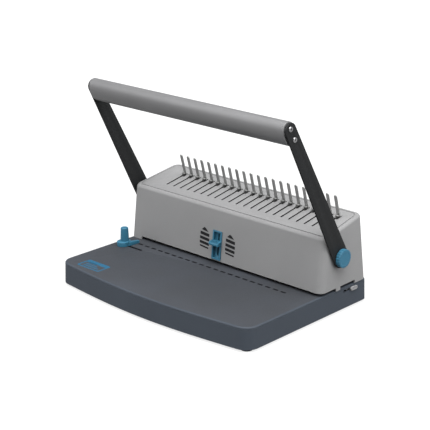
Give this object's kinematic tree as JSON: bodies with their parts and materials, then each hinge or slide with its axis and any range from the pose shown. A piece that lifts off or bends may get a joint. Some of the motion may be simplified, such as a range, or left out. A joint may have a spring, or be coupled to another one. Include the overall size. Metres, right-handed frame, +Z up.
{
  "type": "comb binding machine",
  "caption": "Desk-top comb binder: a swing handle punches rectangular holes at the front edge of its housing and opens a plastic comb on the tines above.",
  "frame": {"origin": "on the table, under the centre of the machine's bounding box", "axes": "+X along the row of punches to the right as the user sees it, +Y to the rear, away from the user, +Z up"},
  "size_m": [0.398, 0.269, 0.2991],
  "materials": {
    "base_plastic": "fine satin grain, blue-grey",
    "cover_plastic": "fine satin grain, warm grey",
    "blue_plastic": "smooth moulded blue",
    "selector_plastic": "moulded light grey",
    "arm_paint": "satin black paint on steel",
    "grip_finish": "extruded and silver-grey coated",
    "plated_steel": "bright plating",
    "zinc_steel": "dull zinc, stamped",
    "foot_rubber": "moulded",
    "bronze": "sintered bronze"
  },
  "bodies": {
    "machine": {"base_tray": "base_plastic", "bottom_plate": "zinc_steel", "cover": "cover_plastic", "tine_comb": "plated_steel", "die_plate": "plated_steel", "punch_guide": "zinc_steel", "left_return_spring": "plated_steel", "right_return_spring": "plated_steel", "left_side_frame": "zinc_steel", "right_side_frame": "zinc_steel", "left_shaft_bush": "bronze", "right_shaft_bush": "bronze", "slider_bezel": "blue_plastic", "front_left_foot": "foot_rubber", "front_right_foot": "foot_rubber", "rear_left_foot": "foot_rubber", "rear_right_foot": "foot_rubber"},
    "handle": {"main_shaft": "plated_steel", "left_cam": "zinc_steel", "right_cam": "zinc_steel", "left_opener_crank": "zinc_steel", "right_opener_crank": "zinc_steel", "left_arm": "arm_paint", "right_arm": "arm_paint", "grip_bar": "grip_finish", "left_pivot_cap": "blue_plastic", "right_pivot_cap": "blue_plastic", "left_lower_grip_screw": "plated_steel", "left_upper_grip_screw": "plated_steel", "right_lower_grip_screw": "plated_steel", "right_upper_grip_screw": "plated_steel"},
    "punch": {"punch_beam": "zinc_steel", "punch_pin_01": "plated_steel", "punch_pin_02": "plated_steel", "punch_pin_03": "plated_steel", "punch_pin_04": "plated_steel", "punch_pin_05": "plated_steel", "punch_pin_06": "plated_steel", "punch_pin_07": "plated_steel", "punch_pin_08": "plated_steel", "punch_pin_09": "plated_steel", "punch_pin_10": "plated_steel", "punch_pin_11": "plated_steel", "punch_pin_12": "plated_steel", "punch_pin_13": "plated_steel", "punch_pin_14": "plated_steel", "punch_pin_15": "plated_steel", "punch_pin_16": "plated_steel", "punch_pin_17": "plated_steel", "punch_pin_18": "plated_steel", "punch_pin_19": "plated_steel", "punch_pin_20": "plated_steel", "punch_pin_21": "plated_steel"},
    "opener": {"hook_comb": "zinc_steel"},
    "comb_size": {"comb_size_slider": "blue_plastic"},
    "edge_stop": {"edge_guide": "blue_plastic", "edge_guide_clip": "selector_plastic"},
    "margin": {"margin_selector": "selector_plastic"},
    "paper_stop": {"depth_stop": "zinc_steel"},
    "drawer": {"chip_tray": "base_plastic"}
  },
  "joints": [
    {"name": "handle_swing", "type": "hinge", "parent": "machine", "child": "handle", "pos_m": [0, 0.066, 0.086], "axis": [1, 0, 0], "range_deg": [0, 60], "stiffness_Nm_per_rad": 0.6, "springref_deg": -91.67},
    {"name": "punch_stroke", "type": "slide", "parent": "machine", "child": "punch", "axis": [0, 0, -1], "range_m": [0, 0.0088], "deforming": ["left_return_spring", "right_return_spring"]},
    {"name": "opener_slide", "type": "slide", "parent": "machine", "child": "opener", "axis": [0, -0.9844, -0.1759], "range_m": [0, 0.0281]},
    {"name": "comb_size_slide", "type": "slide", "parent": "machine", "child": "comb_size", "axis": [0, 0.1007, 0.9949], "range_m": [-0.012, 0.009]},
    {"name": "edge_guide_slide", "type": "slide", "parent": "machine", "child": "edge_stop", "axis": [1, 0, 0], "range_m": [-0.006, 0.035]},
    {"name": "margin_slide", "type": "slide", "parent": "machine", "child": "margin", "axis": [0, -1, 0], "range_m": [0, 0.012]},
    {"name": "stop_travel", "type": "slide", "parent": "machine", "child": "paper_stop", "axis": [0, -1, 0], "range_m": [0, 0.0037]},
    {"name": "drawer_slide", "type": "slide", "parent": "machine", "child": "drawer", "axis": [0, 1, 0], "range_m": [0, 0.085]}
  ],
  "couplings": [
    {"joint": "punch_stroke", "follows": "handle_swing", "m_per_rad": 0.0083079},
    {"joint": "opener_slide", "follows": "handle_swing", "m_per_rad": 0.026738},
    {"joint": "stop_travel", "follows": "margin_slide", "ratio": 0.3}
  ]
}
